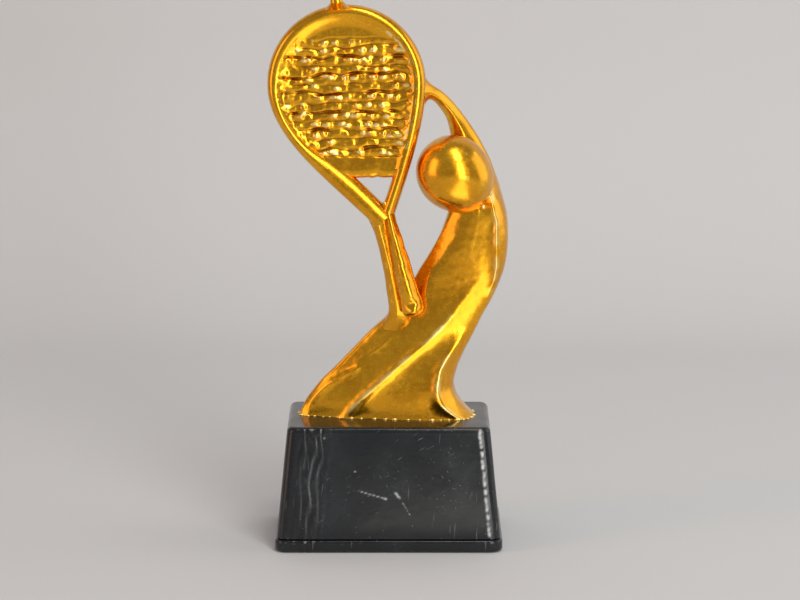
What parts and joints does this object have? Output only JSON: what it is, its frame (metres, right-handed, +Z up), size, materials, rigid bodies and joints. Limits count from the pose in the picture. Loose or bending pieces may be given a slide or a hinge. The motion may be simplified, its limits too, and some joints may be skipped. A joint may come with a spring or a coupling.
{
  "type": "figure trophy",
  "caption": "Small gold racket player trophy: an abstract figure holds up a racket with a ball on a stem, bolted to a tapered gloss black base with a felt pad.",
  "frame": {"origin": "centre of the underside of the base, where the trophy stands", "axes": "+X to the figure's head side (right seen from the front), +Y towards the back, +Z up"},
  "size_m": [0.0635, 0.04, 0.1585],
  "materials": {
    "gold_lacquer": "metallic gold lacquer, high gloss",
    "black_gloss": "gloss with light scratches",
    "steel": "zinc plated",
    "brass": "plain",
    "black_felt": "felt",
    "cement": "cast cement"
  },
  "bodies": {
    "root": {"base_shell": "black_gloss", "foot_plate": "black_gloss", "felt_pad": "black_felt", "ballast_block": "cement", "centre_stud": "steel", "flat_washer": "steel", "spring_washer": "steel", "hex_nut": "steel", "threaded_insert": "brass", "locating_pin_left": "steel", "locating_pin_right": "steel", "figure_body": "gold_lacquer", "head": "gold_lacquer", "neck_pin": "steel", "raised_arm": "gold_lacquer", "shoulder_pin": "steel", "hand_pin": "steel", "lower_arm": "gold_lacquer", "wrist_pin": "steel", "racket_frame": "gold_lacquer", "string_bed": "gold_lacquer", "racket_handle": "gold_lacquer", "handle_pin": "steel", "ball": "gold_lacquer", "ball_stem": "gold_lacquer"}
  },
  "joints": []
}
